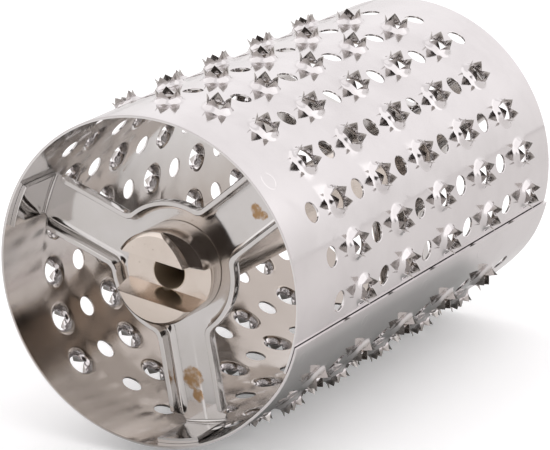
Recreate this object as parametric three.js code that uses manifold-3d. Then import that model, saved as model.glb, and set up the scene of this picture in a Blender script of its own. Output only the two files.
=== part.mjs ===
// A rotary grater drum, lying on its side: a rolled and perforated steel sheet, a three-arm
// pressed spider in each end, and a drive hub, a sleeve and a bush on the axis.
// Millimetres, +Z up. The axis is Y: the drive end is at y = 0 and the open rear end at y = LENGTH.

import * as THREE from 'three';
import { mergeVertices } from 'three/addons/utils/BufferGeometryUtils.js';
import Module from 'manifold-3d';

const wasm = await Module();
wasm.setup();

// ---- driving dimensions ----

const DRUM_RADIUS = 40;
const LENGTH = 135;
const SHEET = 0.6;

const ROW_PITCH_DEG = 16.5;     // angle between two rows of the pattern
const FIRST_ROW_DEG = 324.55;   // the first row, measured from +X towards +Z
const ROW_COUNT = 21;           // the 22nd place round the drum is left for the lap seam
const ROW_SHIFT = 2.8;          // each row starts this much further back than the one before
const FIRST_ROW_HOLE = -13.12;  // y of a hole of the first row
const CELL = 11.23;             // distance from a hole to the next burr in one row
const PLAIN_BAND = 13;          // no hole or burr has its middle nearer to a rim than this
const HOLE_RADIUS = 2.5;
const HOLE_SIDES = 6;
const BURR_RADIUS = 4;
const BURR_TIP_RADIUS = 2.0;
const BURR_HEIGHT = 3.2;
const BURR_PETALS = 5;

const LAP_START_ROWS = 1.334;   // from the outer edge of the lap to the first row, in row pitches
const LAP_DEG = 10;             // how far the sheet's two ends overlap
const LAP_GAP = 0.2;
const LAP_EASE_DEG = 25;        // over this angle the outer layer comes down to the drum radius

const SPIDER_SHEET = 1.2;
const SPIDER_SET_IN = 15.2;     // from the rim to the spider's face
const FIRST_ARM_DEG = 40.3;
const ARM_COUNT = 3;
const ARM_WIDTH = 14.2;
const FLANGE_STOP = 3.9;        // an arm's flanges stop this far from the drum's inner wall
const DISC_RADIUS = 16.8;
const FLANGE_HEIGHT = 3.6;
const FOOT_WIDTH = 11.2;
const FOOT_SET_IN = 2;          // from the rim to the free end of a foot
const FOOT_GAP = 0.35;

const HUB_RADIUS = 11.3;
const HUB_SET_IN = 3.4;         // from the rim to the faces of the two claws
const BORE_RADIUS = 4.1;
const SLOT_DEPTH = 7;
const SLOT_DEG = -8;            // direction of the slot across the hub
const SLOT_TOP = 4.6;           // slot edge above the axis, at the claw faces
const SLOT_BOTTOM = 5.5;        // slot edge below the axis, at the claw faces
const SLOT_TOP_FLOOR = 4.0;
const SLOT_BOTTOM_FLOOR = 4.1;
const LEDGE_DEPTH = 2.8;        // the upper claw is cut back this deep on one side
const LEDGE_ARC_RADIUS = 19.3;
const LEDGE_ARC_X = -9.9;
const LEDGE_ARC_Z = -4.5;
const SPIGOT_RADIUS = 6.4;
const SPIGOT_LENGTH = 8;

const SLEEVE_RADIUS = 8.5;
const FIT_GAP = 0.3;            // radial gap between a spigot and what it passes through
const BUSH_HEIGHT = 6;

const ROUND_SIDES = 40;

// ---- small helpers ----

const INNER_RADIUS = DRUM_RADIUS - SHEET;
const ARM_REACH = INNER_RADIUS - FLANGE_STOP;
const SPIDER_BORE = SPIGOT_RADIUS + FIT_GAP;
const radians = THREE.MathUtils.degToRad;

function toSolid(geometry) {
  const bare = geometry.clone();
  bare.deleteAttribute('normal');
  bare.deleteAttribute('uv');
  const merged = mergeVertices(bare, 1e-5);
  const vertProperties = new Float32Array(merged.attributes.position.array);
  const triVerts = new Uint32Array(merged.index.array);
  return new wasm.Manifold(new wasm.Mesh({ numProp: 3, vertProperties, triVerts }));
}

function toGeometry(solid) {
  const mesh = solid.getMesh();
  const geometry = new THREE.BufferGeometry();
  geometry.setAttribute('position', new THREE.BufferAttribute(new Float32Array(mesh.vertProperties), 3));
  geometry.setIndex(new THREE.BufferAttribute(new Uint32Array(mesh.triVerts), 1));
  return geometry;
}

// a round bar on the drum's axis, or beside it, from y = low to y = high
function bar(radius, low, high, sides = ROUND_SIDES, x = 0, z = 0) {
  const geometry = new THREE.CylinderGeometry(radius, radius, high - low, sides);
  geometry.translate(x, (low + high) / 2, z);
  return toSolid(geometry);
}

// a block that reaches along one radial direction, from the radius near to the radius far
function radialBlock(angleDeg, near, far, width, low, high) {
  const geometry = new THREE.BoxGeometry(far - near, high - low, width);
  geometry.translate((near + far) / 2, (low + high) / 2, 0);
  geometry.rotateY(-radians(angleDeg));
  return toSolid(geometry);
}

function finish(geometry, name, colour, roughness) {
  const material = new THREE.MeshStandardMaterial({ color: colour, roughness, metalness: 1 });
  const mesh = new THREE.Mesh(geometry, material);
  mesh.name = name;
  return mesh;
}

// ---- the perforated sheet ----
// The sheet is laid out flat first: a runs across the rows, in row pitches, and y along the drum.
// A row is a chain of skewed cells with one hole or one burr in the middle of each, so that the
// cells of neighbouring rows share their corners although every row is shifted.

const LAP_ROWS = LAP_DEG / ROW_PITCH_DEG;
const SHEET_START = -LAP_START_ROWS;
const SHEET_END = SHEET_START + 360 / ROW_PITCH_DEG + LAP_ROWS;

const flatPoints = [];
const flatIndex = new Map();
const flatTriangles = [];
const burrTips = new Map();

function flatPoint(a, y) {
  const key = `${a.toFixed(5)}|${y.toFixed(5)}`;
  if (!flatIndex.has(key)) {
    flatIndex.set(key, flatPoints.length);
    flatPoints.push({ a, y });
  }
  return flatIndex.get(key);
}

function cellMiddle(row, cell) {
  return FIRST_ROW_HOLE + ROW_SHIFT * row + CELL * cell;
}

function firstCell(row) {
  return Math.ceil((PLAIN_BAND - cellMiddle(row, 0)) / CELL);
}

function lastCell(row) {
  return Math.floor((LENGTH - PLAIN_BAND - cellMiddle(row, 0)) / CELL);
}

// the points on the line between row - 1/2 and row + 1/2, between two cell edges and the rims
function line(row) {
  const rows = [row - 0.5, row + 0.5].filter((r) => r >= 0 && r < ROW_COUNT);
  const from = Math.min(...rows.map(firstCell)) - 0.5;
  const to = Math.max(...rows.map(lastCell)) + 0.5;
  const points = [{ edge: -Infinity, index: flatPoint(row, 0) }];
  for (let edge = from; edge <= to; edge += 1) {
    points.push({ edge, index: flatPoint(row, cellMiddle(row, edge)) });
  }
  points.push({ edge: Infinity, index: flatPoint(row, LENGTH) });
  return points;
}

// fills the band between two chains of points that both run from front to back
function stitch(left, right) {
  let i = 0;
  let j = 0;
  while (i < left.length - 1 || j < right.length - 1) {
    const nextLeft = i < left.length - 1 ? flatPoints[left[i + 1]].y : Infinity;
    const nextRight = j < right.length - 1 ? flatPoints[right[j + 1]].y : Infinity;
    if (nextLeft <= nextRight) {
      flatTriangles.push([left[i], right[j], left[i + 1]]);
      i += 1;
    } else {
      flatTriangles.push([left[i], right[j], right[j + 1]]);
      j += 1;
    }
  }
}

function polygon(row, y, radius, sides, firstAngle) {
  const pitch = radians(ROW_PITCH_DEG) * DRUM_RADIUS;
  const points = [];
  for (let i = 0; i < sides; i += 1) {
    const angle = firstAngle + (i * 2 * Math.PI) / sides;
    const a = row + (radius * Math.cos(angle)) / pitch;
    points.push({ angle, index: flatPoint(a, y + radius * Math.sin(angle)) });
  }
  return points;
}

// fills the ring between a cell's outline and the opening in its middle
function fillCell(outline, opening) {
  const turn = 2 * Math.PI;
  const outer = [...outline, { angle: outline[0].angle + turn, index: outline[0].index }];
  const inner = [...opening, { angle: opening[0].angle + turn, index: opening[0].index }];
  let i = 0;
  let j = 0;
  while (i < outer.length - 1 || j < inner.length - 1) {
    const nextOuter = i < outer.length - 1 ? outer[i + 1].angle : Infinity;
    const nextInner = j < inner.length - 1 ? inner[j + 1].angle : Infinity;
    if (nextOuter <= nextInner) {
      flatTriangles.push([outer[i].index, outer[i + 1].index, inner[j].index]);
      i += 1;
    } else {
      flatTriangles.push([inner[j].index, outer[i].index, inner[j + 1].index]);
      j += 1;
    }
  }
}

function cellOutline(row, cell) {
  const middle = cellMiddle(row, cell);
  const pitch = radians(ROW_PITCH_DEG) * DRUM_RADIUS;
  const corners = [[0, -0.5], [0.5, -0.5], [0.5, 0.5], [0, 0.5], [-0.5, 0.5], [-0.5, -0.5]];
  return corners.map(([across, along]) => {
    const y = cellMiddle(row + across, cell + along);
    let angle = Math.atan2(y - middle, across * pitch);
    if (angle < -Math.PI / 2 - 1e-9) angle += 2 * Math.PI;
    return { angle, index: flatPoint(row + across, y) };
  });
}

function addCell(row, cell) {
  const middle = cellMiddle(row, cell);
  const outline = cellOutline(row, cell);
  if (Math.abs(cell % 2) === 0) {
    const firstAngle = -Math.PI / 2 + 0.1;
    fillCell(outline, polygon(row, middle, HOLE_RADIUS, HOLE_SIDES, firstAngle));
    return;
  }
  const ring = polygon(row, middle, BURR_RADIUS, BURR_PETALS, -Math.PI / 2);
  fillCell(outline, ring);
  const tips = polygon(row, middle, BURR_TIP_RADIUS, BURR_PETALS, -Math.PI / 2 + Math.PI / BURR_PETALS);
  for (let i = 0; i < BURR_PETALS; i += 1) {
    const next = (i + 1) % BURR_PETALS;
    burrTips.set(`${ring[next].index}>${ring[i].index}`, tips[i].index);
  }
}

function addRow(row) {
  const first = firstCell(row);
  const last = lastCell(row);
  const sides = [line(row - 0.5), line(row + 0.5)];
  const lowMiddle = [flatPoint(row, 0), flatPoint(row, cellMiddle(row, first - 0.5))];
  const highMiddle = [flatPoint(row, cellMiddle(row, last + 0.5)), flatPoint(row, LENGTH)];
  const [lowLeft, lowRight] = sides.map((s) => s.filter((p) => p.edge <= first - 0.5).map((p) => p.index));
  const [highLeft, highRight] = sides.map((s) => s.filter((p) => p.edge >= last + 0.5).map((p) => p.index));
  stitch(lowLeft, lowMiddle);
  stitch(lowMiddle, lowRight);
  for (let cell = first; cell <= last; cell += 1) addCell(row, cell);
  stitch(highLeft, highMiddle);
  stitch(highMiddle, highRight);
}

// the plain bands beside the first and the last row, which lap over each other
function addLapBands() {
  const first = line(-0.5).map((p) => p.index);
  const last = line(ROW_COUNT - 0.5).map((p) => p.index);
  const rims = (a) => [flatPoint(a, 0), flatPoint(a, LENGTH)];
  const startMiddle = (SHEET_START - 0.5) / 2;
  const endMiddle = (SHEET_END + ROW_COUNT - 0.5) / 2;
  stitch(rims(SHEET_START), rims(startMiddle));
  stitch(rims(startMiddle), first);
  stitch(last, rims(endMiddle));
  stitch(rims(endMiddle), rims(SHEET_END));
}

// how far the outer layer of the lap stands out from the drum radius
function lapLift(a) {
  const past = ((a - SHEET_START - LAP_ROWS) * ROW_PITCH_DEG) / LAP_EASE_DEG;
  return (SHEET + LAP_GAP) * (1 - THREE.MathUtils.smoothstep(past, 0, 1));
}

// rolls a flat point on to the drum, with its height above the outer surface
function roll(point, height) {
  const angle = radians(FIRST_ROW_DEG - ROW_PITCH_DEG * point.a);
  const radius = DRUM_RADIUS + lapLift(point.a) + height;
  return [radius * Math.cos(angle), point.y, radius * Math.sin(angle)];
}

function openEdges() {
  const edges = new Set();
  for (const [p, q, r] of flatTriangles) {
    for (const [from, to] of [[p, q], [q, r], [r, p]]) {
      if (!edges.delete(`${to}>${from}`)) edges.add(`${from}>${to}`);
    }
  }
  return [...edges];
}

function drumSheet() {
  for (let row = 0; row < ROW_COUNT; row += 1) addRow(row);
  addLapBands();
  const count = flatPoints.length;
  const positions = [0, -SHEET].flatMap((height) => flatPoints.flatMap((p) => roll(p, height)));
  const triangles = [];
  for (const [p, q, r] of flatTriangles) {
    triangles.push(p, q, r);
    triangles.push(r + count, q + count, p + count);
  }
  for (const edge of openEdges()) {
    const [p, q] = edge.split('>').map(Number);
    if (!burrTips.has(edge)) {
      triangles.push(q, p, p + count, q, p + count, q + count);
      continue;
    }
    const tip = positions.length / 3;
    positions.push(...roll(flatPoints[burrTips.get(edge)], BURR_HEIGHT));
    triangles.push(q, p, tip, p + count, q + count, tip);
    triangles.push(q, tip, q + count, tip, p, p + count);
  }
  const geometry = new THREE.BufferGeometry();
  geometry.setAttribute('position', new THREE.Float32BufferAttribute(positions, 3));
  geometry.setIndex(triangles);
  const used = mergeVertices(geometry, 1e-5);
  return finish(used, 'drum_sheet', 0xe0dcdc, 0.15);
}

// ---- the two pressed spiders ----

function spider(name, facesRear) {
  const face = SPIDER_SET_IN;
  const back = face + SPIDER_SHEET;
  const lip = face - FLANGE_HEIGHT;
  const outer = INNER_RADIUS - FOOT_GAP;
  const wallSides = 96;
  let solid = bar(DISC_RADIUS, lip, back);
  let hollow = bar(DISC_RADIUS - SPIDER_SHEET, lip - 1, face);
  let feet = bar(outer, FOOT_SET_IN, back, wallSides);
  feet = feet.subtract(bar(outer - SPIDER_SHEET, 0, back + 1, wallSides));
  let footPlan = null;
  for (let arm = 0; arm < ARM_COUNT; arm += 1) {
    const angle = FIRST_ARM_DEG + (arm * 360) / ARM_COUNT;
    solid = solid.add(radialBlock(angle, 0, ARM_REACH, ARM_WIDTH, lip, back));
    hollow = hollow.add(radialBlock(angle, 0, DRUM_RADIUS, ARM_WIDTH - 2 * SPIDER_SHEET, lip - 1, face));
    solid = solid.add(radialBlock(angle, ARM_REACH - 2, outer + 1, FOOT_WIDTH, face, back));
    const plan = radialBlock(angle, ARM_REACH, DRUM_RADIUS, FOOT_WIDTH, 0, back + 1);
    footPlan = footPlan ? footPlan.add(plan) : plan;
  }
  solid = solid.subtract(hollow).intersect(bar(outer, 0, back + 1, wallSides));
  solid = solid.add(feet.intersect(footPlan)).subtract(bar(SPIDER_BORE, lip - 1, back + 1));
  const geometry = toGeometry(solid);
  if (facesRear) {
    geometry.scale(1, -1, 1);
    geometry.translate(0, LENGTH, 0);
    turnFacesRound(geometry);
  }
  return finish(geometry, name, 0xd6d4d2, 0.18);
}

// a mirrored mesh needs every triangle turned round to face outwards again
function turnFacesRound(geometry) {
  const index = geometry.index.array;
  for (let i = 0; i < index.length; i += 3) {
    const first = index[i];
    index[i] = index[i + 1];
    index[i + 1] = first;
  }
}

// ---- the pieces on the axis ----

// a bar across the hub whose section is the slot: wider at the claw faces than at its floor
function slotCutter() {
  const over = 4;
  const section = new THREE.Shape();
  const topSlope = (SLOT_TOP - SLOT_TOP_FLOOR) / SLOT_DEPTH;
  const bottomSlope = (SLOT_BOTTOM - SLOT_BOTTOM_FLOOR) / SLOT_DEPTH;
  section.moveTo(SLOT_DEPTH, -SLOT_BOTTOM_FLOOR);
  section.lineTo(SLOT_DEPTH, SLOT_TOP_FLOOR);
  section.lineTo(-over, SLOT_TOP + over * topSlope);
  section.lineTo(-over, -SLOT_BOTTOM - over * bottomSlope);
  section.closePath();
  const reach = 4 * HUB_RADIUS;
  const geometry = new THREE.ExtrudeGeometry(section, { depth: reach, bevelEnabled: false });
  geometry.translate(0, 0, -reach / 2);
  // shape x becomes y (depth into the hub), shape y becomes z, the extrusion runs along x
  geometry.applyMatrix4(new THREE.Matrix4().makeBasis(
    new THREE.Vector3(0, 1, 0),
    new THREE.Vector3(0, 0, 1),
    new THREE.Vector3(1, 0, 0),
  ));
  geometry.rotateY(-radians(SLOT_DEG));
  geometry.translate(0, HUB_SET_IN, 0);
  return toSolid(geometry);
}

// the crescent that is cut from the upper claw, down to the ledge
function ledgeCutter() {
  const low = HUB_SET_IN - 1;
  const high = HUB_SET_IN + LEDGE_DEPTH;
  const kept = bar(LEDGE_ARC_RADIUS, low - 1, high + 1, 96, LEDGE_ARC_X, LEDGE_ARC_Z);
  const quarter = radialBlock(45, 0, 2 * HUB_RADIUS, 2.4 * HUB_RADIUS, low, high);
  return bar(HUB_RADIUS + 1, low, high).intersect(quarter).subtract(kept);
}

function driveHub() {
  const face = SPIDER_SET_IN;
  let solid = bar(HUB_RADIUS, HUB_SET_IN, face);
  solid = solid.add(bar(SPIGOT_RADIUS, face - 1, face + SPIDER_SHEET + SPIGOT_LENGTH));
  solid = solid.subtract(slotCutter()).subtract(ledgeCutter());
  solid = solid.subtract(bar(BORE_RADIUS, 0, face + SPIDER_SHEET + SPIGOT_LENGTH + 1, 24));
  return finish(toGeometry(solid), 'drive_hub', 0xd8cabc, 0.28);
}

function shaftSleeve() {
  const low = SPIDER_SET_IN + SPIDER_SHEET;
  const high = LENGTH - low;
  const solid = bar(SLEEVE_RADIUS, low, high).subtract(bar(SPIDER_BORE, low - 1, high + 1));
  return finish(toGeometry(solid), 'shaft_sleeve', 0xc9c4be, 0.3);
}

function rearBush() {
  const face = LENGTH - SPIDER_SET_IN;
  let solid = bar(HUB_RADIUS, face, face + BUSH_HEIGHT);
  solid = solid.add(bar(SPIGOT_RADIUS, face - SPIDER_SHEET - SPIGOT_LENGTH, face + 1));
  solid = solid.subtract(bar(BORE_RADIUS, face - SPIDER_SHEET - SPIGOT_LENGTH - 1, LENGTH, 24));
  return finish(toGeometry(solid), 'rear_bush', 0xcfc4b8, 0.3);
}

// ---- the drum ----

const drum = new THREE.Group();
drum.add(drumSheet());
drum.add(spider('front_spider', false));
drum.add(spider('rear_spider', true));
drum.add(driveHub());
drum.add(shaftSleeve());
drum.add(rearBush());

export default drum;
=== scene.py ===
# %% [markdown]
# # A rotary grater drum in polished steel
#
# The drum is one welded unit: a thin sheet with round holes and star burrs, rolled up and
# lapped, with a pressed three-arm spider in each end and turned pieces on its axis.
# The imported model gives every size and place. Here each piece gets its fine surface.
# We start by loading that model and keeping its box, which later sets the floor's height.

import bmesh
import bpy
import numpy as np
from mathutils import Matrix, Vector


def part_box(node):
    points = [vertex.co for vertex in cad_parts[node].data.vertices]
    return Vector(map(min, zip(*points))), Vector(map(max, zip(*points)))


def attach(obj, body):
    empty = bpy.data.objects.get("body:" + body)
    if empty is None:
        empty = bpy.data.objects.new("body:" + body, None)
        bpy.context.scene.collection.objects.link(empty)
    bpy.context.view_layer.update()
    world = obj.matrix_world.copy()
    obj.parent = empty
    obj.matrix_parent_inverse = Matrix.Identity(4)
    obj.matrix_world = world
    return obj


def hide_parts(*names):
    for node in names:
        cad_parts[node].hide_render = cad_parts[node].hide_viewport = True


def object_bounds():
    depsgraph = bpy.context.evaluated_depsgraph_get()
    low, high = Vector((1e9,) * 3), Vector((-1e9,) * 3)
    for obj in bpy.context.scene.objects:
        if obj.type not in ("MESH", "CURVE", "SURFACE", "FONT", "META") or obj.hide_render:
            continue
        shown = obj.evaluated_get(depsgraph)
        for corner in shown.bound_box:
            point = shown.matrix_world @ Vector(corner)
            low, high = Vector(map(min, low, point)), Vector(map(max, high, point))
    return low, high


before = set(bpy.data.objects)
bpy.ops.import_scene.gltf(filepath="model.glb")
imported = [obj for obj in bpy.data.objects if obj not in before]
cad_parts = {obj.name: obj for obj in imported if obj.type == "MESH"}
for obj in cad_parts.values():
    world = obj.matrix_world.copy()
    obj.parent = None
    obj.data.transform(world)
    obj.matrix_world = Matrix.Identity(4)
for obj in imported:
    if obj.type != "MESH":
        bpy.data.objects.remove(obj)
cad_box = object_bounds()
MM = 0.001
print("packed nodes:", sorted(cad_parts))

# %% [markdown]
# ## Sizes
#
# The ends of the drum, the planes of the spiders and the radii of the turned pieces are read
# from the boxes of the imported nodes. What a box can't tell, such as a wall or a bore, is named
# in millimetres where it is first needed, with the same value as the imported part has. Reading
# the boxes is better than repeating every number, because a piece then follows its node.

# %% Sizes from the frame
def box_mm(node):
    """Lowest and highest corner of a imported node, in millimetres."""
    low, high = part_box(node)
    return np.array(low) / MM, np.array(high) / MM


drum_low, drum_high = box_mm("drum_sheet")
spider_low, spider_high = box_mm("front_spider")
hub_low, hub_high = box_mm("drive_hub")
sleeve_low, sleeve_high = box_mm("shaft_sleeve")
bush_low, bush_high = box_mm("rear_bush")

LENGTH = drum_high[1] - drum_low[1]
DRUM_RADIUS = 40.0
SHEET = 0.6
SPIDER_SHEET = 1.2
SPIDER_BACK = spider_high[1]
SPIDER_FACE = SPIDER_BACK - SPIDER_SHEET
FOOT_END = spider_low[1]
HUB_RADIUS = (hub_high[0] - hub_low[0]) / 2
HUB_FACE = hub_low[1]
SLEEVE_RADIUS = (sleeve_high[0] - sleeve_low[0]) / 2
BORE_RADIUS = 4.1
SPIGOT_RADIUS = 6.4
FIT_GAP = 0.3                      # between a spigot and what it passes through
SPIDER_BORE = SPIGOT_RADIUS + FIT_GAP
print(f"drum {LENGTH:.1f} mm long, spider face at {SPIDER_FACE:.1f}, hub radius {HUB_RADIUS:.1f}")

# %% [markdown]
# ## From arrays to a mesh
#
# Every surface below is a grid of points worked out with numpy. A piece is a list of such
# patches. They are joined here: points that coincide become one, quads are cut into
# triangles, and triangles that have shrunk to a line are dropped. Edges sharper than a given
# angle stay crisp, and the rest is shaded smoothly, as on pressed and rolled steel. Modelling
# by hand or with a modifier for each feature would also work, but a grid of points keeps
# every seam exact, so that the finished piece is closed.

# %% Mesh builder
WELD = 2e-6     # points nearer than about this, in metres, become one


def grid_quads(rows, columns, closed=False):
    """Quads of a grid of rows x columns points. A closed grid joins its last column to its first."""
    index = np.arange(rows * columns).reshape(rows, columns)
    right = np.roll(index, -1, axis=1)
    if not closed:
        index, right = index[:, :-1], right[:, :-1]
    quads = np.stack([index[:-1], right[:-1], right[1:], index[1:]], axis=-1)
    return quads.reshape(-1, 4)


def build(name, patches, sharp_deg=32.0):
    """Joins patches of (points in mm, quads) into one mesh object in metres."""
    starts = np.cumsum([0] + [len(points) for points, _ in patches[:-1]])
    points = np.concatenate([points for points, _ in patches]) * MM
    quads = np.concatenate([quads + start for (_, quads), start in zip(patches, starts)])
    keys = np.round(points / WELD).astype(np.int64)
    _, first, inverse = np.unique(keys, axis=0, return_index=True, return_inverse=True)
    points, quads = points[first], inverse.reshape(-1)[quads]
    triangles = np.concatenate([quads[:, [0, 1, 2]], quads[:, [0, 2, 3]]])
    a, b, c = triangles.T
    triangles = triangles[(a != b) & (b != c) & (c != a)]
    mesh = bpy.data.meshes.new(name)
    mesh.vertices.add(len(points))
    mesh.vertices.foreach_set("co", points.astype(np.float32).ravel())
    mesh.loops.add(triangles.size)
    mesh.loops.foreach_set("vertex_index", triangles.astype(np.int32).ravel())
    mesh.polygons.add(len(triangles))
    mesh.polygons.foreach_set("loop_start", np.arange(0, triangles.size, 3, dtype=np.int32))
    mesh.update(calc_edges=True)
    mesh.validate()
    mesh.polygons.foreach_set("use_smooth", np.ones(len(mesh.polygons), bool))
    mesh.set_sharp_from_angle(angle=np.radians(sharp_deg))
    piece = bpy.data.objects.new(name, mesh)
    bpy.context.scene.collection.objects.link(piece)
    print(f"{name}: {len(points)} points, {len(mesh.polygons)} triangles")
    return piece


def ring_points(radius, height, angle):
    """Points round the drum's axis: x = r cos(angle), y = height, z = r sin(angle)."""
    radius, height, angle = np.broadcast_arrays(radius, height, angle)
    return np.stack([radius * np.cos(angle), height, radius * np.sin(angle)], axis=-1)

# %% [markdown]
# ## The pattern of holes and burrs
#
# The sheet is first laid out flat: `a` counts rows across the sheet and `y` runs along the
# drum. In each row a hole and a burr take turns, and each row starts a little further back
# than the one before, so one cell of the pattern is a skewed rectangle. All cells are alike,
# which lets one template be worked out and then copied to every place as one array sum.
# Cutting a hundred openings with booleans would be slow and would spoil the smooth shading.

# %% Pattern sizes
ROW_PITCH_DEG = 16.5
FIRST_ROW_DEG = 324.55
ROW_COUNT = 21
ROW_SHIFT = 2.8
FIRST_ROW_HOLE = -13.12
CELL = 11.23
PLAIN_BAND = 13.0                  # no opening has its middle nearer to a rim than this
ROW_PITCH = np.radians(ROW_PITCH_DEG) * DRUM_RADIUS
LAP_ROWS = 10.0 / ROW_PITCH_DEG    # the sheet's two ends overlap by 10 degrees
LAP_GAP = 0.2
LAP_EASE_ROWS = 25.0 / ROW_PITCH_DEG
SHEET_START = -1.334
SHEET_END = SHEET_START + 360.0 / ROW_PITCH_DEG + LAP_ROWS
FIRST_CELL, LAST_CELL = -10, 17    # more than enough cells to pass both rims in every row
ACROSS = 9                         # steps across a cell
ALONG = 6                          # steps along a cell


def along_drum(row, cell):
    """Distance from the front rim: first hole + shift x row + cell length x cell."""
    return FIRST_ROW_HOLE + ROW_SHIFT * row + CELL * cell


def roll(a, y, height):
    """Rolls flat points on to the drum. The angle falls by one pitch for each row, and the
    radius is the drum's, plus the height, plus the lift of the lap's outer layer, which
    falls to nothing along a smooth step (3t squared - 2t cubed)."""
    a, y, height = np.broadcast_arrays(a, y, height)
    t = np.clip((a - SHEET_START - LAP_ROWS) / LAP_EASE_ROWS, 0, 1)
    lift = (SHEET + LAP_GAP) * (1 - t * t * (3 - 2 * t))
    angle = np.radians(FIRST_ROW_DEG - ROW_PITCH_DEG * a)
    y = np.clip(y, 0, LENGTH)
    return ring_points(DRUM_RADIUS + lift + height, y, angle).reshape(-1, 3)


def list_cells():
    """Row and cell number of every opening, and of every plain cell that touches the sheet."""
    rows, cells = np.meshgrid(np.arange(ROW_COUNT), np.arange(FIRST_CELL, LAST_CELL + 1), indexing="ij")
    rows, cells = rows.ravel(), cells.ravel()
    y = along_drum(rows, cells)
    reach = (CELL + ROW_SHIFT) / 2
    on_sheet = (y > -reach) & (y < LENGTH + reach)
    opening = (y >= PLAIN_BAND) & (y <= LENGTH - PLAIN_BAND)
    even = cells % 2 == 0
    pick = lambda mask: (rows[mask], cells[mask])
    return pick(opening & even), pick(opening & ~even), pick(on_sheet & ~opening)


holes, burrs, plain = list_cells()
print(f"{len(holes[0])} holes, {len(burrs[0])} burrs, {len(plain[0])} plain cells")

# %% [markdown]
# ## One hole and one burr
#
# A cell with an opening is a set of closed rings. The first ring is the cell's outline on the
# outer face, the next ones close in on the opening, go through the thickness, and run back
# out on the inner face. A punched hole only has a slightly rounded edge. A burr is drawn up
# into a low dome, and its middle is torn into five upright petals: the crown's height goes
# up and down along a nearly straight-sided wave, five times round. Bump in a material
# couldn't show such petals, because they stand against the background.

# %% Cell templates
AROUND = 2 * (ACROSS + ALONG)
RING_ANGLE = np.radians(-138.0 + 360.0 / AROUND * np.arange(AROUND))
TIP_ANGLE = np.radians(54.0)
PETALS = 5
PETAL_FULLNESS = 0.88              # a power below 1 makes the petals a little fuller


def cell_outline():
    """Points round the skewed cell, counter-clockwise, as (rows across, cells along)."""
    across = np.arange(ACROSS) / ACROSS - 0.5
    along = np.arange(ALONG) / ALONG - 0.5
    u = np.concatenate([across, np.full(ALONG, 0.5), -across, np.full(ALONG, -0.5)])
    v = np.concatenate([np.full(ACROSS, -0.5), along, np.full(ACROSS, 0.5), -along])
    return u, v


def round_ring(radius, height, outline_share=0.0):
    """A circle in the cell, drawn towards the outline by the given share."""
    u, v = cell_outline()
    s = (1 - outline_share) * radius * np.cos(RING_ANGLE) + outline_share * u * ROW_PITCH
    y = (1 - outline_share) * radius * np.sin(RING_ANGLE)
    y = y + outline_share * (v * CELL + u * ROW_SHIFT)
    return np.stack([s, y, np.broadcast_to(height, s.shape)])


def petal_wave():
    """0 between two petals and 1 at a petal's tip, a straight-sided wave."""
    turns = (RING_ANGLE - TIP_ANGLE) / (2 * np.pi / PETALS)
    return 1 - 2 * np.abs(turns - np.round(turns))


def petal_ring(radius, height, tip_radius=None, tip_height=None, flat=1.0):
    """A ring with five sides: its distance is the middle of a side over cos(angle from that
    middle), to a power that goes from 0, a circle, to 1, flat sides. The radius and height
    are given between the petals, and can differ at their tips."""
    wave = petal_wave()
    half = np.pi / PETALS
    reach = radius * (np.cos(half) / np.cos(half * (1 - wave))) ** flat
    wave = wave ** PETAL_FULLNESS
    if tip_radius is not None:
        reach = reach * (1 - wave) + tip_radius * wave
        height = height * (1 - wave) + tip_height * wave
    return np.stack([reach * np.cos(RING_ANGLE), reach * np.sin(RING_ANGLE), height + 0 * wave])


def cell_template(rings):
    """Stacks rings, outer face first, between the cell's outline on both faces."""
    top = round_ring(0, 0.0, 1.0)
    bottom = round_ring(0, -SHEET, 1.0)
    return np.stack([top, *rings, bottom])


# Each ring is (radius, height), from the outer face to the inner one.
HOLE_RINGS = [
    round_ring(3.1, 0.0),
    round_ring(2.62, -0.01),
    round_ring(2.5, -0.12),
    round_ring(2.5, -SHEET + 0.08),
    round_ring(2.6, -SHEET),
]
CROWN = 2.95                       # height of the petals' tips
BURR_RINGS = [
    round_ring(4.5, 0.0),
    round_ring(4.05, 0.05),
    round_ring(3.6, 0.3),
    round_ring(3.28, 0.68),
    petal_ring(3.1, 0.93, 2.66, 1.3),
    petal_ring(3.05, 0.98, 2.98, CROWN),
    petal_ring(2.9, 0.96, 2.83, CROWN - 0.08),
    petal_ring(2.78, 0.78, 2.42, 1.2),
    round_ring(2.6, 0.45),
    round_ring(2.9, 0.12),
    round_ring(3.35, -0.27),
    round_ring(3.9, -SHEET + 0.03),
    round_ring(4.4, -SHEET),
]
print(f"templates: {len(HOLE_RINGS)} rings for a hole, {len(BURR_RINGS)} for a burr, {AROUND} points each")


def copy_cells(rings, places):
    """Puts a template of rings at every (row, cell): local offsets plus the cell's middle."""
    template = cell_template(rings)
    row, cell = (np.asarray(p, float)[:, None, None] for p in places)
    a = row + template[:, 0] / ROW_PITCH
    y = along_drum(row, cell) + template[:, 1]
    points = roll(a, y, template[:, 2])
    one = grid_quads(len(template), AROUND, closed=True)
    step = np.arange(len(places[0]))[:, None, None] * len(template) * AROUND
    return points, (one[None] + step).reshape(-1, 4)

# %% [markdown]
# ## The plain parts of the sheet
#
# Towards the rims the cells have no opening. They are plain little grids with the same steps
# along their edges, so their points meet those of their neighbours. Where a cell crosses a
# rim, its points are moved on to the rim. Two narrow strips beside the first and the last
# row lap over each other, and a thin wall closes the sheet all round.

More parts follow.
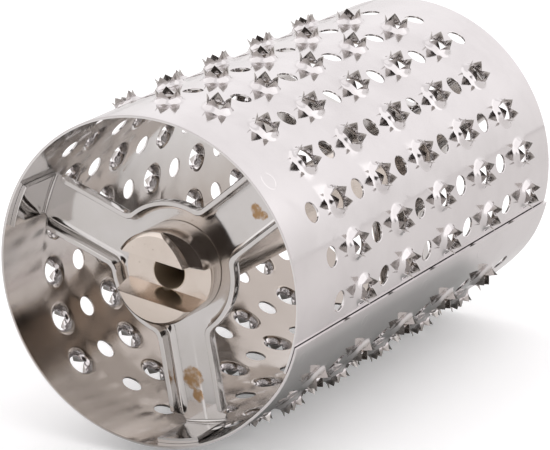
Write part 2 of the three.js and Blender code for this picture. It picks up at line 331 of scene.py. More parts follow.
# %% Plain cells, lap strips and edges
def plain_patch(a_edges, v_edges, cells):
    """The outer and the inner face of plain cells, as grids over a and v, one per start cell."""
    a = np.asarray(a_edges, float)
    v = np.asarray(v_edges, float)
    patches = []
    for height, order in ((0.0, [0, 1, 2, 3]), (-SHEET, [3, 2, 1, 0])):
        grid_a = a[:, None, :] + 0 * v[None, :, None]
        y = along_drum(grid_a, cells[:, None, None] + v[None, :, None])
        points = roll(grid_a, y, height)
        one = grid_quads(len(v), a.shape[1])
        step = np.arange(len(a))[:, None, None] * len(v) * a.shape[1]
        patches.append((points, (one[None] + step).reshape(-1, 4)[:, order]))
    return patches


def sheet_edges():
    """The walls that close the sheet at both rims and at both ends of the lap."""
    row_steps = np.concatenate([
        np.linspace(SHEET_START, -0.5, ALONG + 1)[:-1],
        (np.arange(ROW_COUNT * ACROSS) / ACROSS - 0.5),
        np.linspace(ROW_COUNT - 0.5, SHEET_END, ALONG + 1),
    ])
    depth = np.array([0.0, -SHEET])[:, None]
    quads = grid_quads(2, len(row_steps))
    front = (roll(row_steps[None], 0.0, depth), quads[:, ::-1])
    back = (roll(row_steps[None], LENGTH, depth), quads)
    patches = [front, back]
    steps = np.arange(FIRST_CELL * ALONG, (LAST_CELL + 1) * ALONG + 1) / ALONG - 0.5
    for a, flip in ((SHEET_START, False), (SHEET_END, True)):
        y = along_drum(a, steps)
        quads = grid_quads(2, len(steps))
        patches.append((roll(a, y[None], depth), quads if not flip else quads[:, ::-1]))
    return patches


across_steps = np.linspace(-0.5, 0.5, ACROSS + 1)
along_steps = np.linspace(-0.5, 0.5, ALONG + 1)
sheet_patches = [copy_cells(HOLE_RINGS, holes), copy_cells(BURR_RINGS, burrs)]
sheet_patches += plain_patch(plain[0][:, None] + across_steps, along_steps, plain[1])
strip_cells = np.arange(FIRST_CELL, LAST_CELL + 1)
for low, high in ((SHEET_START, -0.5), (ROW_COUNT - 0.5, SHEET_END)):
    strip = np.repeat(np.linspace(low, high, ALONG + 1)[None], len(strip_cells), axis=0)
    sheet_patches += plain_patch(strip, along_steps, strip_cells)
sheet_patches += sheet_edges()
grater_sheet = build("grater_sheet", sheet_patches)
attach(grater_sheet, "root")
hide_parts("drum_sheet")

# %% [markdown]
# ## The pressed spider
#
# The spider is one pressing: a disc and three arms, with the edge turned up all round. Such a
# shape is a profile carried round an outline. Here the outline is worked out again for every
# step of the profile, from a disc and arms made smaller by an inset, so the profile never
# crosses itself at the ends of the arms. A moving average rounds the outline's corners, and
# the turned-up edge fades out before the foot. Solidify and Bevel on a flat cut-out would be
# quicker, but they can't let the edge fade out.

# %% Spider outline
FIRST_ARM_DEG = 40.3
ARMS = 3
ARM_HALF = 7.1
SHOULDER = 36.0
ARM_END = 37.6
FOOT_HALF = 5.6
DISC_RADIUS = 16.8
FLANGE_HEIGHT = 3.6
FLANGE_FADE = 0.8                  # the flange fades out over this length before the shoulder
BEND_INSIDE = 1.7                  # radius inside the flange's bend
LIP_ROUND = 0.15
ARC_STEPS, SIDE_STEPS, TAIL_STEPS, END_STEPS = 16, 28, 5, 12


def turn(points, degrees):
    """Turns points (x, z) about the drum's axis."""
    c, s = np.cos(np.radians(degrees)), np.sin(np.radians(degrees))
    return points @ np.array([[c, s], [-s, c]])


def arm_outline(inset):
    """One third of the outline: half a disc arc, an arm's side, its shoulder, its end, and the
    same back again. The arm meets the disc where sin(angle) = half width / radius."""
    radius, half, end = DISC_RADIUS - inset, ARM_HALF - inset, ARM_END - min(inset, 0.1)
    narrow = min(half, FOOT_HALF)
    meet = np.arcsin(half / radius)
    arc = np.linspace(-np.pi / ARMS, -meet, ARC_STEPS, endpoint=False)
    low_arc = np.stack([radius * np.cos(arc), radius * np.sin(arc)], axis=1)
    along = np.linspace(radius * np.cos(meet), SHOULDER, SIDE_STEPS)
    low_side = np.stack([along, np.full(SIDE_STEPS, -half)], axis=1)
    along = np.linspace(SHOULDER + 0.7, end, TAIL_STEPS, endpoint=False)
    low_tail = np.stack([along, np.full(TAIL_STEPS, -narrow)], axis=1)
    over = np.linspace(-narrow, narrow, END_STEPS)
    cap = np.stack([np.full(END_STEPS, end), over], axis=1)
    low = np.concatenate([low_arc, low_side, low_tail])
    return np.concatenate([low, cap, low[::-1] * np.array([1, -1])])


def soften(values, width=2):
    """A moving average over a closed loop, which rounds corners."""
    shifts = range(-width, width + 1)
    return sum(np.roll(values, k, axis=0) for k in shifts) / len(shifts)


def spider_outline(inset):
    """The closed outline, and how much of the flange stands at each point, from 1 to 0."""
    third = arm_outline(inset)
    fade = np.clip((SHOULDER - third[:, 0]) / FLANGE_FADE, 0, 1)
    loop = np.concatenate([turn(third, FIRST_ARM_DEG + 360.0 / ARMS * k) for k in range(ARMS)])
    return soften(loop), soften(np.tile(fade, ARMS), 1)


def outward(points, quads):
    """Turns a closed patch's faces outwards: its volume, the sum of a . (b x c) / 6, must be positive."""
    a, b, c, d = (points[quads[:, k]] for k in range(4))
    volume = (a * np.cross(b, c)).sum() + (a * np.cross(c, d)).sum()
    return points, quads if volume > 0 else quads[:, ::-1]


def arc_steps(inset, y, radius, start_deg, stop_deg, count):
    """Points (inset, y) on a bend about a centre, for the profile."""
    angle = np.radians(np.linspace(start_deg, stop_deg, count))
    return list(zip(inset + radius * np.cos(angle), y + radius * np.sin(angle)))


def spider_profile():
    """(inset, y) from the flat face over the flange to the flat back."""
    inner, outer = BEND_INSIDE, BEND_INSIDE + SPIDER_SHEET
    lip = SPIDER_FACE - FLANGE_HEIGHT
    corner = SPIDER_SHEET + inner
    front = [(corner + 1.0, SPIDER_FACE)] + arc_steps(corner, SPIDER_FACE - inner, inner, 90, 180, 8)
    edge = [(SPIDER_SHEET, lip + LIP_ROUND), (SPIDER_SHEET - LIP_ROUND, lip),
            (LIP_ROUND, lip), (0.0, lip + LIP_ROUND)]
    back = arc_steps(outer, SPIDER_BACK - outer, outer, 180, 90, 10) + [(corner + 1.0, SPIDER_BACK)]
    return front + edge + back


def spider_body():
    """Carries the profile round the outline, and closes it through the bore in the middle."""
    rings = []
    for inset, y in spider_profile():
        loop, flange = spider_outline(inset)
        height = np.where(y < SPIDER_FACE, SPIDER_FACE + (y - SPIDER_FACE) * flange, y)
        rings.append(np.stack([loop[:, 0], height, loop[:, 1]], axis=1))
    angle = np.arctan2(rings[-1][:, 2], rings[-1][:, 0])
    front, back = (ring_points(SPIDER_BORE, y, angle) for y in (SPIDER_FACE, SPIDER_BACK))
    rings = [front, *rings, back, front]
    points = np.concatenate(rings)
    return outward(points, grid_quads(len(rings), len(rings[0]), closed=True))


print(f"spider: {len(spider_outline(0.0)[0])} points round, {len(spider_profile())} in the profile")

# %% [markdown]
# ## The feet
#
# At its end each arm narrows to a tongue, which bends forward through a right angle and lies
# along the drum's wall. It is a flat bar's section carried along that bend. On the way the
# section itself takes the curve of the wall, which a plain bent plate wouldn't, and it would
# then stand off the wall in the middle or at its edges.

# %% Spider feet
FOOT_BEND = 1.05                   # radius of the bend's middle line
FOOT_OUTSIDE = DRUM_RADIUS - SHEET - 0.04
FOOT_THICK = SPIDER_SHEET - 0.02
FOOT_ROUND = 0.25
SIDE_POINTS = 11


def foot_section():
    """(sideways, through) points round the bar's section, with small rounded corners."""
    side = np.linspace(-FOOT_HALF + FOOT_ROUND, FOOT_HALF - FOOT_ROUND, SIDE_POINTS)
    half = FOOT_THICK / 2
    top = np.stack([side, np.full(SIDE_POINTS, half)], axis=1)
    edge = np.array([[FOOT_HALF, half - FOOT_ROUND], [FOOT_HALF, FOOT_ROUND - half]])
    return np.concatenate([top, edge, -top, -edge])


def foot_path():
    """Stations (radius, y, bend angle, share of the wall's curve): flat, bend, along the wall."""
    middle_y = (SPIDER_FACE + SPIDER_BACK) / 2
    middle_r = FOOT_OUTSIDE - SPIDER_SHEET / 2
    bend = np.radians(np.linspace(0, 90, 9))
    radius = middle_r - FOOT_BEND + FOOT_BEND * np.sin(bend)
    y = middle_y - FOOT_BEND + FOOT_BEND * np.cos(bend)
    flat = [(ARM_END - 2.0, middle_y, 0.0, 0.0)]
    wall = [(middle_r, step, np.pi / 2, 1.0) for step in np.linspace(y[-1], FOOT_END, 7)[1:]]
    return np.array(flat + list(zip(radius, y, bend, bend / bend[-1])) + wall)


def foot_patch(degrees):
    """The section swept along the path. Sideways w becomes w where the foot is flat, and the
    angle w / radius where it lies on the wall."""
    section = foot_section()
    radius, y, bend, share = (column[:, None] for column in foot_path().T)
    sideways, through = section[:, 0][None], section[:, 1][None]
    r = radius + through * np.sin(bend)
    height = y + through * np.cos(bend)
    angle = sideways / (FOOT_OUTSIDE - SPIDER_SHEET / 2)
    x = r * (1 - share) + share * r * np.cos(angle)
    z = sideways * (1 - share) + share * r * np.sin(angle)
    flat = turn(np.stack([x.ravel(), z.ravel()], axis=1), degrees)
    grid = np.stack([flat[:, 0], height.ravel(), flat[:, 1]], axis=1).reshape(*x.shape, 3)
    caps = [np.repeat(end.mean(axis=0)[None], len(section), axis=0)[None] for end in (grid[0], grid[-1])]
    grid = np.concatenate([caps[0], grid, caps[1]])
    return outward(grid.reshape(-1, 3), grid_quads(len(grid), len(section), closed=True))


def spider_patches(rear):
    """The body and its three feet. The rear spider is the front one seen in a mirror."""
    patches = [spider_body()] + [foot_patch(FIRST_ARM_DEG + 360.0 / ARMS * k) for k in range(ARMS)]
    if rear:
        flip = np.array([1.0, -1.0, 1.0])
        patches = [outward(p * flip + [0, LENGTH, 0], q) for p, q in patches]
    return patches


for name, node, rear in (("pressed_spider_front", "front_spider", False),
                         ("pressed_spider_rear", "rear_spider", True)):
    spider = build(name, spider_patches(rear), sharp_deg=40)
    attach(spider, "root")
    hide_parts(node)

# %% [markdown]
# ## Turned pieces
#
# The hub, the sleeve and the bush are turned on a lathe, so each is a profile of radius and
# distance, swung round the axis. The profile runs round the whole section and closes on
# itself, so the bore is part of it, and small chamfers catch the light. A Screw modifier would
# give the same shape, but here the chamfers come from one number at each corner.

# %% Lathe
LATHE_STEPS = 128


def lathe(profile):
    """Swings a closed profile of (radius, y, chamfer) round the axis. Each corner is replaced
    by two points at the chamfer's distance along its edges."""
    profile = np.array(profile, float)
    corners, chamfer = profile[:, :2], profile[:, 2:]
    towards = lambda other: (other - corners) / np.linalg.norm(other - corners, axis=1, keepdims=True)
    before, after = towards(np.roll(corners, 1, axis=0)), towards(np.roll(corners, -1, axis=0))
    rim = np.stack([corners + chamfer * before, corners + chamfer * after], axis=1).reshape(-1, 2)
    rim = np.concatenate([rim, rim[:1]])
    angle = np.linspace(0, 2 * np.pi, LATHE_STEPS, endpoint=False)
    points = ring_points(rim[:, :1], rim[:, 1:], angle[None]).reshape(-1, 3)
    return outward(points, grid_quads(len(rim), LATHE_STEPS, closed=True))


sleeve = build("turned_sleeve", [lathe([
    (SPIDER_BORE, sleeve_low[1], 0.3), (SLEEVE_RADIUS, sleeve_low[1], 0.3),
    (SLEEVE_RADIUS, sleeve_high[1], 0.3), (SPIDER_BORE, sleeve_high[1], 0.3)])])
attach(sleeve, "root")
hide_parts("shaft_sleeve")

BUSH_RADIUS = (bush_high[0] - bush_low[0]) / 2
bush_face = LENGTH - SPIDER_FACE
bush = build("turned_bush", [lathe([
    (BORE_RADIUS, bush_low[1], 0.3), (SPIGOT_RADIUS, bush_low[1], 0.3), (SPIGOT_RADIUS, bush_face, 0.1),
    (BUSH_RADIUS, bush_face, 0.4), (BUSH_RADIUS, bush_high[1], 0.6), (BORE_RADIUS, bush_high[1], 0.4)])])
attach(bush, "root")
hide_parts("rear_bush")

# %% [markdown]
# ## The drive hub
#
# The hub starts as a turned piece. A milling cutter then takes a slot right across it, with
# walls that lean outwards, and cuts back one claw along a wide arc, down to a sloping ledge
# where the drive dog slides in. Those cuts are done with boolean modifiers, as the mill
# would, and a bevel breaks the sharp edges. The finished mesh is kept, and the cutters go.

# %% Hub
SLOT_DEPTH = 7.0
SLOT_DEG = -8.0
SLOT_EDGES = (-5.5, 4.6)           # at the claw faces
SLOT_FLOOR_EDGES = (-4.1, 4.0)
LEDGE_ARC_RADIUS = 19.3
LEDGE_ARC_CENTRE = np.array([-9.9, -4.5])
LEDGE_DEPTH = 2.8
LEDGE_SLOPE = np.array([0.45, 0.25])
LEDGE_POINT = np.array([8.0, 3.3])
OVERCUT = 3.0                      # a cutter reaches this far past what it cuts
EDGE_BREAK = 0.34
ARC_POINTS = 40


def prism(name, outline, low, high):
    """A solid between two copies of a closed outline (x, z), at the given y for each point."""
    count = len(outline)
    low, high = (np.broadcast_to(v, count) for v in (low, high))
    points = np.concatenate([np.stack([outline[:, 0], y, outline[:, 1]], axis=1) for y in (low, high)])
    mesh = bpy.data.meshes.new(name)
    ring = list(range(count))
    sides = [(k, (k + 1) % count, (k + 1) % count + count, k + count) for k in ring]
    faces = [tuple(ring[::-1]), tuple(k + count for k in ring)] + sides
    mesh.from_pydata((points * MM).tolist(), [], faces)
    cutter = bpy.data.objects.new(name, mesh)
    bpy.context.scene.collection.objects.link(cutter)
    return cutter


def slot_cutter():
    """A bar across the hub. Its section is a trapezoid: wide at the claws, narrow at the floor."""
    reach = 3 * HUB_RADIUS
    slopes = (np.array(SLOT_EDGES) - np.array(SLOT_FLOOR_EDGES)) / SLOT_DEPTH
    top = np.array(SLOT_EDGES) + OVERCUT * slopes
    ends = np.array([-reach, reach])
    wide = np.array([[ends[0], top[0]], [ends[1], top[0]], [ends[1], top[1]], [ends[0], top[1]]])
    floor = SLOT_FLOOR_EDGES
    narrow = np.array([[ends[0], floor[0]], [ends[1], floor[0]], [ends[1], floor[1]], [ends[0], floor[1]]])
    cutter = prism("slot_cutter", turn(wide, SLOT_DEG), HUB_FACE - OVERCUT, HUB_FACE + SLOT_DEPTH)
    points = np.empty(8 * 3)
    cutter.data.vertices.foreach_get("co", points)
    points = points.reshape(-1, 3)
    points[4:, [0, 2]] = turn(narrow, SLOT_DEG) * MM
    cutter.data.vertices.foreach_set("co", points.ravel())
    return cutter


def ledge_cutter():
    """A crescent outside the wide arc. Its floor slopes: depth = depth at a point + slope . offset."""
    inner = np.radians(np.linspace(14, 62, ARC_POINTS))
    arc = LEDGE_ARC_CENTRE + LEDGE_ARC_RADIUS * np.stack([np.cos(inner), np.sin(inner)], axis=1)
    outer = np.radians(np.linspace(94, 0, ARC_POINTS))
    rim = (HUB_RADIUS + OVERCUT) * np.stack([np.cos(outer), np.sin(outer)], axis=1)
    outline = np.concatenate([arc, rim])[::-1]
    depth = LEDGE_DEPTH + (outline - LEDGE_POINT) @ LEDGE_SLOPE
    return prism("ledge_cutter", outline, HUB_FACE - OVERCUT, HUB_FACE + depth)


def recalculate(piece):
    """Points a cutter's faces outwards, which the boolean needs."""
    bm = bmesh.new()
    bm.from_mesh(piece.data)
    bmesh.ops.recalc_face_normals(bm, faces=bm.faces)
    bm.to_mesh(piece.data)
    bm.free()


hub = build("milled_hub", [lathe([
    (BORE_RADIUS, HUB_FACE, 0.3), (HUB_RADIUS, HUB_FACE, 0.85), (HUB_RADIUS, SPIDER_FACE, 0.3),
    (SPIGOT_RADIUS, SPIDER_FACE, 0.1), (SPIGOT_RADIUS, hub_high[1], 0.3),
    (BORE_RADIUS, hub_high[1], 0.3)])])
cutters = [slot_cutter(), ledge_cutter()]
for cutter in cutters:
    recalculate(cutter)
    cut = hub.modifiers.new(cutter.name, "BOOLEAN")
    cut.operation = "DIFFERENCE"
    cut.solver = "EXACT"
    cut.object = cutter
soft_edge = hub.modifiers.new("broken edges", "BEVEL")
soft_edge.width = EDGE_BREAK * MM
soft_edge.segments = 3
soft_edge.limit_method = "ANGLE"
soft_edge.angle_limit = np.radians(35)
bpy.context.view_layer.update()
finished = bpy.data.meshes.new_from_object(hub.evaluated_get(bpy.context.evaluated_depsgraph_get()))
hub.modifiers.clear()
hub.data = finished
finished.polygons.foreach_set("use_smooth", np.ones(len(finished.polygons), bool))
finished.set_sharp_from_angle(angle=np.radians(25))
for cutter in cutters:
    bpy.data.objects.remove(cutter)
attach(hub, "root")
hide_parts("drive_hub")
print(f"milled_hub: {len(finished.polygons)} faces after milling")

# %% [markdown]
# ## Shared effects
#
# Polished steel is never perfectly flat or clean. Rolling and buffing leave fine lines along
# one direction, hands leave faint smudges, and welds leave rings and brown heat tint. Each of
# these is a node group that puts out masks and heights, so every material can use it with
# its own values, while the shader itself stays in the material. The nodes read only the
# place on the piece, so a mark stays where it is from every side.

# %% Node helpers
def new_group(name, inputs, outputs):
    """An empty node group with float or vector sockets, given as name: default."""
    group = bpy.data.node_groups.new(name, "ShaderNodeTree")
    for label, value in inputs.items():
        kind = "NodeSocketVector" if isinstance(value, tuple) else "NodeSocketFloat"
        group.interface.new_socket(label, in_out="INPUT", socket_type=kind).default_value = value
    for label in outputs:
        group.interface.new_socket(label, in_out="OUTPUT", socket_type="NodeSocketFloat")
    return group, group.nodes.new("NodeGroupInput"), group.nodes.new("NodeGroupOutput")


def add(tree, kind, inputs=None, **settings):
    """Adds a node, sets its properties, and sets or links its inputs."""
    node = tree.nodes.new(kind)
    for key, value in settings.items():
        setattr(node, key, value)
    for key, value in (inputs or {}).items():
        if isinstance(value, bpy.types.NodeSocket):
            tree.links.new(value, node.inputs[key])
        else:
            node.inputs[key].default_value = value
    return node


def math(tree, operation, a, b=0.0):
    """One math node: its result."""
    return add(tree, "ShaderNodeMath", {0: a, 1: b}, operation=operation).outputs[0]


def remap(tree, value, low, high, to_low=0.0, to_high=1.0):
    """A clamped smooth step from one range to another."""
    node = add(tree, "ShaderNodeMapRange", {"Value": value, "From Min": low, "From Max": high,
                                            "To Min": to_low, "To Max": to_high})
    node.interpolation_type = "SMOOTHSTEP"
    return node.outputs[0]

# %% Effects as node groups
def make_polish():
    """Lines: fine noise stretched 1 / 0.015, about 67 times, along Y. Smudges: coarse noise."""
    group, given, made = new_group("polish marks", {"Line Scale": 900.0, "Smudge Scale": 60.0},
                                   ["Lines", "Smudges"])
    where = add(group, "ShaderNodeTexCoord").outputs["Object"]
    stretched = add(group, "ShaderNodeMapping", {"Vector": where, "Scale": (1.0, 0.015, 1.0)})
    lines = add(group, "ShaderNodeTexNoise", {"Vector": stretched.outputs[0], "Detail": 3.0,
                                              "Scale": given.outputs["Line Scale"]})
    smudges = add(group, "ShaderNodeTexNoise", {"Vector": where, "Detail": 4.0, "Roughness": 0.6,
                                                "Scale": given.outputs["Smudge Scale"]})
    group.links.new(lines.outputs[0], made.inputs["Lines"])
    group.links.new(smudges.outputs[0], made.inputs["Smudges"])
    return group


def make_spot():
    """A round mark: its distance from a centre, made uneven by noise, gives a blot and a ring."""
    group, given, made = new_group("round mark", {"Centre": (0.0, 0.0, 0.0), "Radius": 0.002,
                                                  "Unevenness": 0.0008}, ["Blot", "Ring"])
    where = add(group, "ShaderNodeTexCoord").outputs["Object"]
    away = add(group, "ShaderNodeVectorMath", {0: where, 1: given.outputs["Centre"]},
               operation="DISTANCE").outputs["Value"]
    noise = add(group, "ShaderNodeTexNoise", {"Vector": where, "Scale": 700.0, "Detail": 3.0})
    shift = math(group, "MULTIPLY", math(group, "SUBTRACT", noise.outputs[0], 0.5),
                 given.outputs["Unevenness"])
    away = math(group, "DIVIDE", math(group, "ADD", away, shift), given.outputs["Radius"])
    group.links.new(remap(group, away, 1.1, 0.75), made.inputs["Blot"])
    off = math(group, "ABSOLUTE", math(group, "SUBTRACT", away, 1.0))
    group.links.new(remap(group, off, 0.16, 0.0), made.inputs["Ring"])
    return group


# The inner side group marks where painted light and shade go on the drum's inside and petals.
def make_inner_side():
    """Inside: 1 on the drum's inner face, from the distance to the axis against a radius.
    Torn: 1 on the burrs' petals, which stand clear of it on the outside; painted shade goes there.
    The third output goes from 0 to 1 towards one side of the axis, below it, and places painted
    shade on the inner face."""
    group, given, made = new_group("inner side", {"Radius": 0.04, "Shade Side": (-0.6, 0.0, -0.8)},
                                   ["Inside", "Painted Shade", "Torn"])
    where = add(group, "ShaderNodeTexCoord").outputs["Object"]
    flat = add(group, "ShaderNodeVectorMath", {0: where, 1: (1.0, 0.0, 1.0)}, operation="MULTIPLY")
    away = add(group, "ShaderNodeVectorMath", {0: flat.outputs[0]}, operation="LENGTH").outputs["Value"]
    depth = math(group, "SUBTRACT", given.outputs["Radius"], away)
    group.links.new(remap(group, depth, 0.0002, 0.0004), made.inputs["Inside"])
    group.links.new(remap(group, depth, -0.0010, -0.0017), made.inputs["Torn"])
    along = add(group, "ShaderNodeVectorMath", {0: flat.outputs[0], 1: given.outputs["Shade Side"]},
                operation="DOT_PRODUCT").outputs["Value"]
    share = math(group, "DIVIDE", along, given.outputs["Radius"])
    uneven = add(group, "ShaderNodeTexNoise", {"Vector": where, "Scale": 90.0, "Detail": 4.0})
    share = math(group, "ADD", share, math(group, "MULTIPLY", uneven.outputs[0], 0.3))
    group.links.new(remap(group, share, 0.35, 1.1), made.inputs["Painted Shade"])
    return group


def make_turning():
    """Lines: fine noise of the distance from the axis and the distance along it.
    Bore: 1 on a wall no further from the axis than a radius, which the lathe left rough.
    Specks: sparse small spots where a second noise is highest."""
    group, given, made = new_group("turning marks", {"Line Scale": 1500.0, "Bore Radius": 0.004},
                                   ["Lines", "Bore", "Specks"])
    where = add(group, "ShaderNodeTexCoord").outputs["Object"]
    flat = add(group, "ShaderNodeVectorMath", {0: where, 1: (1.0, 0.0, 1.0)}, operation="MULTIPLY")
    away = add(group, "ShaderNodeVectorMath", {0: flat.outputs[0]}, operation="LENGTH").outputs["Value"]
    along = add(group, "ShaderNodeSeparateXYZ", {0: where}).outputs["Y"]
    place = add(group, "ShaderNodeCombineXYZ", {"X": away, "Y": along})
    lines = add(group, "ShaderNodeTexNoise", {"Vector": place.outputs[0], "Detail": 2.0,
                                              "Scale": given.outputs["Line Scale"]})
    group.links.new(lines.outputs[0], made.inputs["Lines"])
    past = math(group, "SUBTRACT", away, given.outputs["Bore Radius"])
    group.links.new(remap(group, past, 0.0003, 0.0001), made.inputs["Bore"])
    spots = add(group, "ShaderNodeTexNoise", {"Vector": where, "Detail": 1.0, "Scale": 1150.0})
    group.links.new(remap(group, spots.outputs[0], 0.71, 0.78), made.inputs["Specks"])
    return group


polish = make_polish()
inner_side = make_inner_side()
turning = make_turning()
round_mark = make_spot()
print("node groups:", ", ".join(g.name for g in (polish, inner_side, turning, round_mark)))

# %% [markdown]
# ## Materials
#
# All pieces are bare steel, so all materials are fully metallic, and what sets them apart is
# their tint and their gloss. The sheet and the spiders are bright polished, nearly mirrors.
# The turned pieces are a little rougher, with a warm nickel tint, turning marks, a few specks
# and a dull bore. One function makes all of them, because a metal that is bought as one sheet
# and one bar should change together when its gloss is changed.

# %% Steel materials
SPECK = (0.42, 0.34, 0.28, 1.0)
DULL_BORE = (0.56, 0.48, 0.38, 1.0)
HEAT_TINT = (0.37, 0.21, 0.08, 1.0)


def mark_masks(tree, output, spots):
    """The highest of one output of the round mark, over (centre, radius, unevenness) in mm."""
    total = None
    for centre, radius, uneven in spots:
        node = add(tree, "ShaderNodeGroup", node_tree=round_mark)
        node.inputs["Centre"].default_value = tuple(np.array(centre) * MM)
        node.inputs["Radius"].default_value = radius * MM
        node.inputs["Unevenness"].default_value = uneven * MM
        value = node.outputs[output]
        total = value if total is None else math(tree, "MAXIMUM", total, value)
    return total


def mix_colour(tree, share, one, other):
    """Mixes two colours by a share."""
    node = add(tree, "ShaderNodeMix", data_type="RGBA")
    for socket, value in ((node.inputs[0], share), (node.inputs[6], one), (node.inputs[7], other)):
        if isinstance(value, bpy.types.NodeSocket):
            tree.links.new(value, socket)
        else:
            socket.default_value = value
    return node.outputs[2]


def steel(name, colour, dull_colour, gloss, welds=(), tints=(), lines=900.0, line_depth=0.02,
          inside=None, turned=False):
    """Bare metal: smudges vary its tint and roughness, fine lines and weld rings its normal.
    Where colours are given for the inside, the drum's inner face goes from the first colour, a
    painted lighter tone, to the second, painted shade towards one side below the axis, and the torn
    petals take the third, painted shade, and are a little rougher. Turned pieces have rings instead
    of straight lines, specks, and a duller and darker bore."""
    material = bpy.data.materials.new(name)
    material.use_nodes = True
    tree = material.node_tree
    shader = tree.nodes["Principled BSDF"]
    shader.inputs["Metallic"].default_value = 1.0
    marks = add(tree, "ShaderNodeGroup", {"Line Scale": lines}, node_tree=polish)
    smudge = remap(tree, marks.outputs["Smudges"], 0.35, 0.7)
    tint = mix_colour(tree, smudge, colour, dull_colour)
    rough = remap(tree, marks.outputs["Smudges"], 0.3, 0.75, gloss[0], gloss[1])
    if turned:
        rings = add(tree, "ShaderNodeGroup", node_tree=turning)
        rings.inputs["Line Scale"].default_value = lines
        rings.inputs["Bore Radius"].default_value = BORE_RADIUS * MM
        tint = mix_colour(tree, rings.outputs["Specks"], tint, SPECK)
        tint = mix_colour(tree, rings.outputs["Bore"], tint, DULL_BORE)
        height = math(tree, "MULTIPLY", rings.outputs["Lines"], line_depth)
        rough = math(tree, "ADD", rough, math(tree, "MULTIPLY", rings.outputs["Lines"], 0.12))
        rough = math(tree, "ADD", rough, math(tree, "MULTIPLY", rings.outputs["Bore"], 0.45))
    else:
        height = math(tree, "MULTIPLY", marks.outputs["Lines"], line_depth)
    if inside:
        side = add(tree, "ShaderNodeGroup", {"Radius": DRUM_RADIUS * MM}, node_tree=inner_side)
        # Painted light and shade: the inner face is lighter on one side and darker below the axis.
        inner_light_and_shade = mix_colour(tree, side.outputs["Painted Shade"], inside[0], inside[1])
        tint = mix_colour(tree, side.outputs["Inside"], tint, inner_light_and_shade)
        # Painted shade: the petals are darker.
        tint = mix_colour(tree, side.outputs["Torn"], tint, inside[2])
        rough = math(tree, "ADD", rough, math(tree, "MULTIPLY", side.outputs["Torn"], 0.1))
    if tints:
        blot = mark_masks(tree, "Blot", tints)
        ragged = add(tree, "ShaderNodeTexNoise", {"Scale": 900.0, "Detail": 2.0})
        tree.links.new(add(tree, "ShaderNodeTexCoord").outputs["Object"], ragged.inputs["Vector"])
        share = math(tree, "MULTIPLY", blot, remap(tree, ragged.outputs[0], 0.3, 0.6, 0.55, 0.9))
        tint = mix_colour(tree, share, tint, HEAT_TINT)
        rough = math(tree, "ADD", rough, math(tree, "MULTIPLY", share, 0.3))
    if welds:
        ring = mark_masks(tree, "Ring", welds)
        height = math(tree, "ADD", height, math(tree, "MULTIPLY", ring, 0.2))
    bump = add(tree, "ShaderNodeBump", {"Height": height, "Strength": 0.35, "Distance": 0.2 * MM})
    tree.links.new(tint, shader.inputs["Base Color"])
    tree.links.new(rough, shader.inputs["Roughness"])
    tree.links.new(bump.outputs[0], shader.inputs["Normal"])
    return material


def on_sheet(degrees, y):
    """A place on the sheet's outside, in millimetres."""
    return tuple(ring_points(DRUM_RADIUS, y, np.radians(degrees)))


SEAM_WELD_DEG = -18.7
FOOT_WELD_Y = 6.0
seam_welds = [(on_sheet(SEAM_WELD_DEG, y), 1.6, 0.3) for y in np.linspace(4.0, LENGTH - 6.0, 5)]
foot_welds = [(on_sheet(FIRST_ARM_DEG + 3.0 + 360.0 / ARMS * k, y), 2.2, 0.1)
              for k in range(ARMS) for y in (FOOT_WELD_Y, LENGTH - FOOT_WELD_Y)]
heat_spots = [((3.2, SPIDER_FACE, -27.1), 2.8, 2.2), ((4.7, SPIDER_FACE, -31.4), 1.6, 1.8),
              ((20.4, SPIDER_FACE, 16.9), 1.5, 1.6), ((20.6, SPIDER_FACE, 15.8), 1.3, 1.6),
              ((22.7, SPIDER_FACE, 15.7), 1.1, 1.4)]
bright_sheet = steel("bright rolled steel", (0.72, 0.69, 0.69, 1), (0.67, 0.64, 0.64, 1),
                     (0.07, 0.16), welds=seam_welds + foot_welds,
                     # Inside: a painted lighter tone, painted shade below the axis, and painted shade on
                     # the petals.
                     inside=((0.76, 0.745, 0.735, 1), (0.45, 0.40, 0.36, 1), (0.43, 0.405, 0.385, 1)))
bright_pressing = steel("bright pressed steel", (0.66, 0.64, 0.63, 1), (0.61, 0.59, 0.57, 1),
                        (0.06, 0.14), tints=heat_spots)
turned_steel = steel("turned steel", (0.74, 0.665, 0.60, 1), (0.66, 0.585, 0.52, 1), (0.09, 0.20),
                     lines=1500.0, line_depth=0.14, turned=True)

finishes = {"grater_sheet": bright_sheet, "pressed_spider_front": bright_pressing,
            "pressed_spider_rear": bright_pressing, "turned_sleeve": turned_steel,
            "turned_bush": turned_steel, "milled_hub": turned_steel}
for name, material in finishes.items():
    piece = bpy.data.objects[name]
    piece.data.materials.clear()
    piece.data.materials.append(material)
    print(f"{name}: {material.name}")

# %% [markdown]
# ## The floor
#
# Polished metal shows its surroundings more than itself, so they are made with the same care
# as the pieces. The floor is a plain sheet. It looks white, and where the camera sees it, it also
# glows faintly: painted light that lifts the drum's shadow on it. Its reflection in the drum is
# greyer, and darkest close under the drum, where a real floor lies in shade.

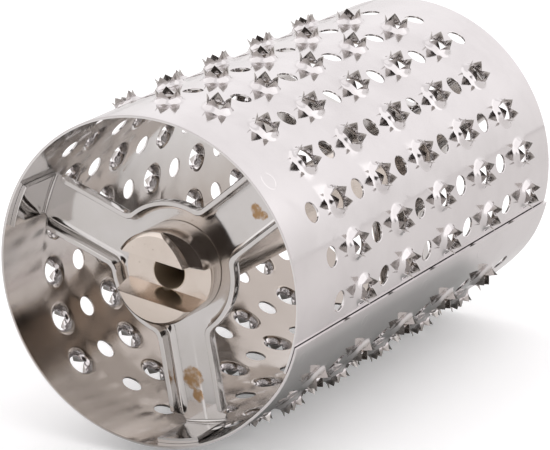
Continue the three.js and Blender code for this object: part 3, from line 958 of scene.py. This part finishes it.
# %% Floor
FLOOR_HALF = 6.0                   # metres
SHADE_HALF = 0.045                 # the shade under the drum reaches this far from its axis
SHADE_FADE = 0.016
floor_z = cad_box[0][2]
floor_points = np.array([[-1, -1, 0], [1, -1, 0], [1, 1, 0], [-1, 1, 0]], float) * FLOOR_HALF / MM
floor = build("floor", [(floor_points + [0, 0, floor_z / MM], np.array([[0, 1, 2, 3]]))])
floor_paint = bpy.data.materials.new("pale floor")
floor_paint.use_nodes = True
paint = floor_paint.node_tree.nodes["Principled BSDF"]
paint.inputs["Roughness"].default_value = 0.9
floor_tree = floor_paint.node_tree
grain = add(floor_tree, "ShaderNodeTexNoise", {"Scale": 3.0})
on_floor = add(floor_tree, "ShaderNodeTexCoord").outputs["Object"]
parts = add(floor_tree, "ShaderNodeSeparateXYZ", {0: on_floor}).outputs
beside = math(floor_tree, "SUBTRACT", math(floor_tree, "ABSOLUTE", parts["X"]), SHADE_HALF)
half = LENGTH / 2 * MM
beyond = math(floor_tree, "ABSOLUTE", math(floor_tree, "SUBTRACT", parts["Y"], half))
away = math(floor_tree, "MAXIMUM", beside, math(floor_tree, "SUBTRACT", beyond, half))
seen = add(floor_tree, "ShaderNodeLightPath").outputs["Is Camera Ray"]
shaded = mix_colour(floor_tree, grain.outputs[0], (0.44, 0.45, 0.44, 1), (0.50, 0.51, 0.50, 1))
in_metal = mix_colour(floor_tree, remap(floor_tree, away, 0.0, SHADE_FADE), shaded, (0.78, 0.77, 0.76, 1))
floor_tree.links.new(mix_colour(floor_tree, seen, in_metal, (0.96, 0.96, 0.96, 1)),
                     paint.inputs["Base Color"])
# Painted light: the floor glows faintly to the camera, which lifts the drum's shadow on it.
paint.inputs["Emission Color"].default_value = (1, 1, 1, 1)
floor_tree.links.new(math(floor_tree, "MULTIPLY", seen, 0.2), paint.inputs["Emission Strength"])
floor.data.materials.append(floor_paint)
print(f"floor at z = {floor_z / MM:.1f} mm")

# %% [markdown]
# ## The light
#
# Shiny metal is shown best in a tent: white walls all round, and one dark opening that gives
# the metal its dark reflections. Here the world is the tent. Its colour is worked out from
# the direction, brightest a little above the horizon, and dark round the direction in which
# the opening lies. Two large, weak lamps give the soft shadows. Small strong lamps would
# show as hard white bands in the rolled sheet.

# %% Light
AZIMUTH, ELEVATION = np.radians(28.97), np.radians(16.83)
TOWARDS_CAMERA = np.array([np.sin(AZIMUTH) * np.cos(ELEVATION), -np.cos(AZIMUTH) * np.cos(ELEVATION),
                           np.sin(ELEVATION)])


def area_light(name, place, aim, size, watts):
    """A square soft light at a place, turned so that its -Z axis points at the aim."""
    light = bpy.data.lights.new(name, "AREA")
    light.size = size
    light.energy = watts
    lamp = bpy.data.objects.new(name, light)
    bpy.context.scene.collection.objects.link(lamp)
    lamp.location = place
    lamp.rotation_euler = (Vector(aim) - Vector(place)).to_track_quat("-Z", "Y").to_euler()
    print(f"{name}: {size} m square, {watts} W")


world = bpy.data.worlds.new("studio")
bpy.context.scene.world = world
world.use_nodes = True
sky = world.node_tree
background = sky.nodes["Background"]
direction = add(sky, "ShaderNodeTexCoord").outputs["Generated"]
upward = add(sky, "ShaderNodeSeparateXYZ", {0: direction}).outputs["Z"]
walls = mix_colour(sky, remap(sky, upward, 0.0, 0.35), (0.89, 0.87, 0.87, 1), (1.05, 1.03, 1.04, 1))
walls = mix_colour(sky, remap(sky, upward, 0.4, 0.8), walls, (0.91, 0.89, 0.90, 1))
opening = add(sky, "ShaderNodeVectorMath", {0: direction, 1: tuple(TOWARDS_CAMERA)},
              operation="DOT_PRODUCT").outputs["Value"]
dark = remap(sky, opening, 0.80, 0.90)
sky_colour = mix_colour(sky, dark, walls, (0.035, 0.028, 0.025, 1))
sky.links.new(sky_colour, background.inputs["Color"])
background.inputs["Strength"].default_value = 1.1
middle = (0.0, LENGTH / 2 * MM, 0.0)
area_light("key", (0.9, 0.4, 1.1), middle, 2.4, 5.6)
area_light("fill", (-0.9, -0.2, 0.8), middle, 1.8, 2.2)

# %% [markdown]
# ## The camera
#
# The camera looks at the drum's front end from the right and a little from above, through a
# long lens, so the far rim is only a little smaller than the near one.

# %% Camera
AIM = Vector((24.1, 17.8, 13.0)) * MM
DISTANCE = 806.4 * MM
back = Vector(TOWARDS_CAMERA)
camera = bpy.data.objects.new("camera", bpy.data.cameras.new("camera"))
bpy.context.scene.collection.objects.link(camera)
camera.data.lens = 228.4
camera.data.sensor_width = 36.0
camera.data.clip_end = 50.0
camera.location = AIM + back * DISTANCE
camera.rotation_euler = back.to_track_quat("Z", "Y").to_euler()
bpy.context.scene.camera = camera
bpy.context.scene.view_settings.view_transform = "Standard"
print(f"camera {DISTANCE:.2f} m from the drum, lens {camera.data.lens:.0f} mm")
